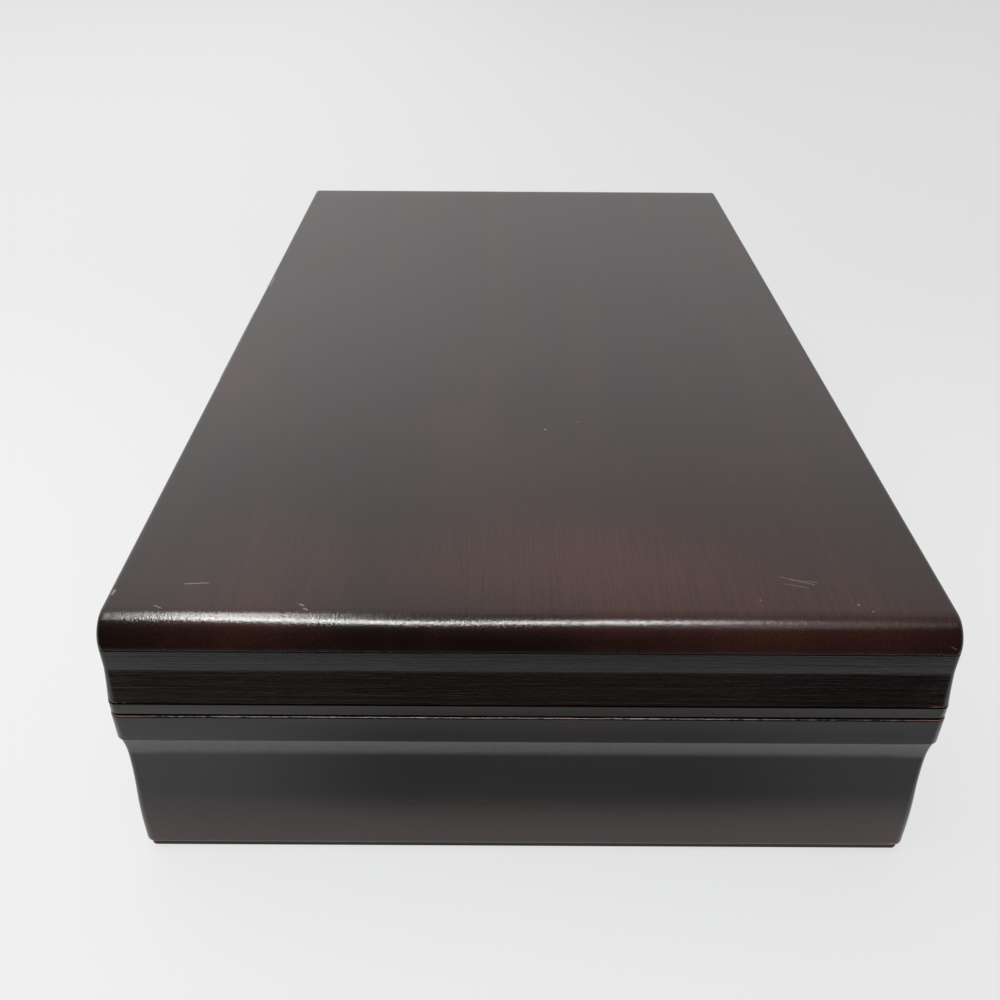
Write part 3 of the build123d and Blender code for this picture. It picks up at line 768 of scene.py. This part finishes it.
end_marks = [
    (on_near_end(118.0, 26.3), on_near_end(126.0, 19.7), 0.14 * MM, 0.3),
    (on_near_end(121.0, 27.0), on_near_end(129.0, 21.0), 0.12 * MM, 0.25),
    (on_near_end(-55.0, 21.5), on_near_end(-42.0, 19.6), 0.13 * MM, 0.3),
    (on_near_end(-42.0, 19.6), on_near_end(-29.0, 20.9), 0.13 * MM, 0.3),
]

near_foot = body_length / 2 + foot_outset
side_foot = body_width / 2 + foot_outset
foot_chips = [
    ((near_foot, side_foot, foot_level + 1 * MM), 3.2 * MM),
    ((near_foot, side_foot - 4 * MM, foot_level), 2 * MM),
    ((near_foot, -side_foot, foot_level), 1.8 * MM),
]

lid_wood_top = varnished_wood("varnished_top", patches=top_patches, marks=top_marks)
wood_along_x = varnished_wood("varnished_long_rail", stain=cold_stain, chips=foot_chips)
wood_along_y = varnished_wood(
    "varnished_end_rail", along_y=True, stain=cold_stain, marks=end_marks, chips=foot_chips
)
cloth = flannel("brown_flannel")
pressed_felt = felt("brown_felt")
ply = stained_panel("stained_plywood")
brushed_brass = brass("brushed_brass")

SIDES = {
    "front": ((0, -1, 0), wood_along_x),
    "back": ((0, 1, 0), wood_along_x),
    "left": ((-1, 0, 0), wood_along_y),
    "right": ((1, 0, 0), wood_along_y),
}

# Wood

make_board(lid_wood_top)
case_mortises = []
lid_mortises = []
for name in ("left", "right"):
    low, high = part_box(f"hinge_case_leaf_{name}")
    middle = (low.x + high.x) / 2
    case_mortises.append((
        (low.x - leaf_room, low.y - leaf_room, rim_level - leaf_thickness),
        (high.x + leaf_room, high.y, rim_level + leaf_thickness),
    ))
    low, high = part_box(f"hinge_lid_leaf_{name}")
    lid_mortises.append((
        (middle - leaf_half_length - leaf_room, low.y - leaf_room, lid_bottom - leaf_thickness),
        (middle + leaf_half_length + leaf_room, high.y, lid_bottom + leaf_thickness),
    ))
lift_low, lift_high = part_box("finger_lift")
for side, (outward, material) in SIDES.items():
    mortises = case_mortises if side == "back" else []
    moulded_rail(f"case_moulding_{side}", outward, case_profile(), material, "case",
                 [f"case_{side}_rail"], mortises)
    cuts = []
    if side == "back":
        cuts = lid_mortises
    if side == "front":
        cuts = [(
            (lift_low.x, lift_low.y, lift_low.z),
            (lift_high.x, lift_high.y, lift_high.z + 1 * MM),
        )]
    moulded_rail(f"lid_moulding_{side}", outward, lid_profile(), material, "lid",
                 [f"lid_{side}_rail"], cuts)

# Cloth

for name in SIDES:
    for body in ("case", "lid"):
        covered_board(f"{body}_lining_{name}", f"{body}_flannel_{name}", cloth, body,
                      0.7 * MM, 0.12 * MM)
covered_board("floor_lining", "floor_flannel", cloth, "case", 0.6 * MM, 0.15 * MM)
pad = covered_board("lid_ceiling_pad", "ceiling_pad", cloth, "lid", 1.1 * MM, 0.3 * MM)
for name in ("left", "right"):
    covered_board(f"rack_divider_{name}", f"divider_flannel_{name}", cloth, "case",
                  1.2 * MM, 0.2 * MM)
    covered_board(f"rack_end_{name}", f"rack_end_flannel_{name}", cloth, "case",
                  1.2 * MM, 0.2 * MM)
    for place in ("front", "rear"):
        notched_bar(f"rack_{place}_{name}", f"notched_bar_{place}_{name}", cloth, "case",
                    notch_count, notch_end_margin, notch_width, notch_depth, False)
notched_bar("knife_rack_handles", "knife_bar_handles", cloth, "lid",
            knife_count, knife_end_margin, handle_notch_width, handle_notch_depth, True)
notched_bar("knife_rack_blades", "knife_bar_blades", cloth, "lid",
            knife_count, knife_end_margin, blade_notch_width, blade_notch_depth, True)
covered_board("base_felt", "felt_underside", pressed_felt, "case", 0.3 * MM, 0.05 * MM)
soft_disc("lid_bumpers", "felt_bumpers", pressed_felt, "case")

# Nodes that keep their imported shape

for node, shape in frame["nodes"].items():
    if shape.hide_render:
        continue
    if node == "finger_lift":
        look = wood_along_x
    elif node == "bottom_panel":
        look = ply
    else:
        look = brushed_brass
    for slot in shape.material_slots:
        slot.material = look

# Camera at the photograph's place

photo_camera = (451.5 * MM, -9.8 * MM, 301.1 * MM)
camera_pitch = math.radians(33.76)
camera_yaw = math.radians(0.08)
camera_roll = math.radians(0.37)
sensor = 36.0
photo_focal = sensor

lens = bpy.data.cameras.new("photo_camera")
lens.sensor_width = sensor
lens.lens = photo_focal
lens.clip_start = 0.01
lens.clip_end = 50
camera = bpy.data.objects.new("photo_camera", lens)
bpy.context.scene.collection.objects.link(camera)
level_ahead = Vector((-math.cos(camera_yaw), math.sin(camera_yaw), 0))
ahead = level_ahead * math.cos(camera_pitch) - Vector((0, 0, math.sin(camera_pitch)))
level_right = Vector((math.sin(camera_yaw), math.cos(camera_yaw), 0))
upward = level_right.cross(ahead)
turn = Matrix((level_right, upward, -ahead)).transposed().to_4x4()
camera.matrix_world = Matrix.Translation(photo_camera) @ turn @ Matrix.Rotation(camera_roll, 4, "Z")
bpy.context.scene.camera = camera


# Floor, backdrop, light

def plane(name, corners, material, **visible):
    bm = bmesh.new()
    bm.faces.new([bm.verts.new(c) for c in corners])
    mesh = bpy.data.meshes.new(name)
    bm.to_mesh(mesh)
    bm.free()
    mesh.materials.append(material)
    made = bpy.data.objects.new(name, mesh)
    bpy.context.scene.collection.objects.link(made)
    for key, value in visible.items():
        setattr(made, key, value)


def glow(name, colour, strength):
    s = Shader(name)
    light = s.node("ShaderNodeEmission", {"Color": colour, "Strength": strength})
    s.tree.links.new(light.outputs[0], s.output.inputs[0])
    return s.material


floor_reach = 6.0
floor_own_light = 0.74
floor_look = Shader("pale_floor")
floor_look.set(Base_Color=(0.8, 0.8, 0.79, 1.0), Roughness=0.9)
floor_look.surface.inputs["Specular IOR Level"].default_value = 0.1
floor_part = floor_look.node("ShaderNodeSeparateXYZ", {0: floor_look.place()})
floor_x = floor_part.outputs[0]
floor_y = floor_part.outputs[1]
floor_rays = floor_look.node("ShaderNodeLightPath")
camera_ray = floor_rays.outputs["Is Camera Ray"]
glossy_ray = floor_rays.outputs["Is Glossy Ray"]
across_light = floor_look.spread(floor_y, -0.45, 0.4, 1.0, 0.88)
along_light = floor_look.spread(floor_x, -0.4, 0.15, 0.9, 1.0)
floor_light = floor_look.math("MULTIPLY", across_light, along_light)

# In the gloss of the near end, the floor just before its foot is in shade
near_shade = floor_look.spread(floor_x, 234 * MM, 264 * MM, 1.0, 0.3)
past_shade = floor_look.spread(floor_x, 270 * MM, 294 * MM, 0.0, 0.62)
left_of_shade = floor_look.spread(floor_y, -130 * MM, -40 * MM, 0.55, 0.0)
right_of_shade = floor_look.spread(floor_y, 60 * MM, 130 * MM, 0.0, 0.22)
mirrored = floor_look.math("ADD", near_shade, past_shade)
mirrored = floor_look.math("ADD", mirrored, left_of_shade)
mirrored = floor_look.math("ADD", mirrored, right_of_shade, clamp=True)
mirrored = floor_look.math("MAXIMUM", mirrored, floor_look.math("SUBTRACT", 1.0, glossy_ray))
floor_strength = floor_look.math("MULTIPLY", floor_light, mirrored)
floor_glow = floor_look.node(
    "ShaderNodeEmission", {"Color": (0.99, 1.0, 1.0, 1.0), "Strength": floor_strength}
)
seen_floor = floor_look.math("MAXIMUM", camera_ray, glossy_ray)
floor_share = floor_look.math("MULTIPLY", seen_floor, floor_own_light)
floor_mix = floor_look.node(
    "ShaderNodeMixShader",
    {0: floor_share, 1: floor_look.surface.outputs[0], 2: floor_glow.outputs[0]},
)
floor_look.tree.links.new(floor_mix.outputs[0], floor_look.output.inputs[0])
plane(
    "floor",
    [
        (-floor_reach, -floor_reach, 0),
        (floor_reach, -floor_reach, 0),
        (floor_reach, floor_reach, 0),
        (-floor_reach, floor_reach, 0),
    ],
    floor_look.material,
)

# Cards that show in the gloss alone: painted shade over the floor in front of the near end, a dark
# room beyond it, and a pale wall at the far end

only_reflected = {
    "visible_camera": False,
    "visible_diffuse": False,
    "visible_shadow": False,
    "visible_transmission": False,
}
dark = glow("dark_card", (0.0, 0.0, 0.0, 1.0), 0.0)
wall_look = Shader("pale_wall")
wall_part = wall_look.node("ShaderNodeSeparateXYZ", {0: wall_look.place()})
wall_y = wall_part.outputs[1]
wall_z = wall_part.outputs[2]
wall_foot = wall_look.spread(wall_z, 0.12, 0.42, 0.64, 0.98)
wall_across = wall_look.spread(wall_y, -0.6, 0.7, 1.2, 0.76)
wall_top = wall_look.spread(wall_z, 0.45, 0.8, 1.0, 0.8)
wall_light = wall_look.math("MULTIPLY", wall_foot, wall_across)
wall_light = wall_look.math("MULTIPLY", wall_light, wall_top)
wall_glow = wall_look.node(
    "ShaderNodeEmission", {"Color": (1.0, 0.985, 0.98, 1.0), "Strength": wall_light}
)
wall_look.tree.links.new(wall_glow.outputs[0], wall_look.output.inputs[0])
dark_from = 324 * MM
dark_slant = 20 * MM
dark_end = 3.0
dark_level = 1 * MM
# Painted shade: a black card over the floor in front of the near end, seen only in the gloss
plane(
    "painted_floor_shade_card",
    [
        (dark_from + dark_slant, -1, dark_level),
        (dark_end, -1, dark_level),
        (dark_end, 1, dark_level),
        (dark_from - dark_slant, 1, dark_level),
    ],
    dark,
    **only_reflected,
)
plane(
    "dark_room_card",
    [(1.6, -4, 0), (1.6, 4, 0), (0.75, 4, 3.6), (0.75, -4, 3.6)],
    dark,
    **only_reflected,
)
wall_x = -0.55
plane(
    "wall_card",
    [(wall_x, -3, 0.0), (wall_x, 3, 0.0), (wall_x, 3, 2.2), (wall_x, -3, 2.2)],
    wall_look.material,
    **only_reflected,
)


def lamp(name, place, aim, size, power, **visible):
    light = bpy.data.lights.new(name, "AREA")
    light.shape = "RECTANGLE"
    light.size, light.size_y = size
    light.energy = power
    made = bpy.data.objects.new(name, light)
    bpy.context.scene.collection.objects.link(made)
    made.location = place
    made.rotation_euler = (Vector(aim) - Vector(place)).to_track_quat("-Z", "X").to_euler()
    for key, value in visible.items():
        setattr(made, key, value)


# One soft lamp lights the chest, and four more show only as highlights in its gloss
lamp("soft_overhead", (-0.2, -0.5, 1.9), (0, 0, 0), (2.4, 2.4), 26.0, visible_glossy=False)
highlights = {
    "window": ((0.11, -0.46, 1.1), (0.11, -0.46, 0.1), (0.5, 0.2), 6.3),
    "strip_left": ((0.43, -0.3, 1.1), (0.22, -0.1, 0.1), (0.06, 0.5), 6.4),
    "strip_right": ((0.43, 0.12, 1.1), (0.22, 0.04, 0.1), (0.05, 0.4), 4.8),
    "soft_right": ((0.5, 0.45, 1.1), (0.22, 0.1, 0.1), (0.45, 0.5), 0.9),
}
for name, (place, aim, size, power) in highlights.items():
    lamp(name, place, aim, size, power, visible_diffuse=False)

sky_strength = 0.36
backdrop_colour = (0.75, 0.755, 0.755, 1.0)
world = bpy.data.worlds.new("studio")
bpy.context.scene.world = world
world.use_nodes = True
tree = world.node_tree
tree.nodes.clear()
paths = tree.nodes.new("ShaderNodeLightPath")
sky = tree.nodes.new("ShaderNodeBackground")
sky.inputs["Color"].default_value = (1.0, 1.0, 1.0, 1.0)
sky.inputs["Strength"].default_value = sky_strength
backdrop = tree.nodes.new("ShaderNodeBackground")
backdrop.inputs["Color"].default_value = backdrop_colour
backdrop.inputs["Strength"].default_value = 1.0
choose = tree.nodes.new("ShaderNodeMixShader")
out = tree.nodes.new("ShaderNodeOutputWorld")
tree.links.new(paths.outputs["Is Camera Ray"], choose.inputs[0])
tree.links.new(sky.outputs[0], choose.inputs[1])
tree.links.new(backdrop.outputs[0], choose.inputs[2])
tree.links.new(choose.outputs[0], out.inputs[0])

bpy.context.scene.view_settings.view_transform = "Standard"
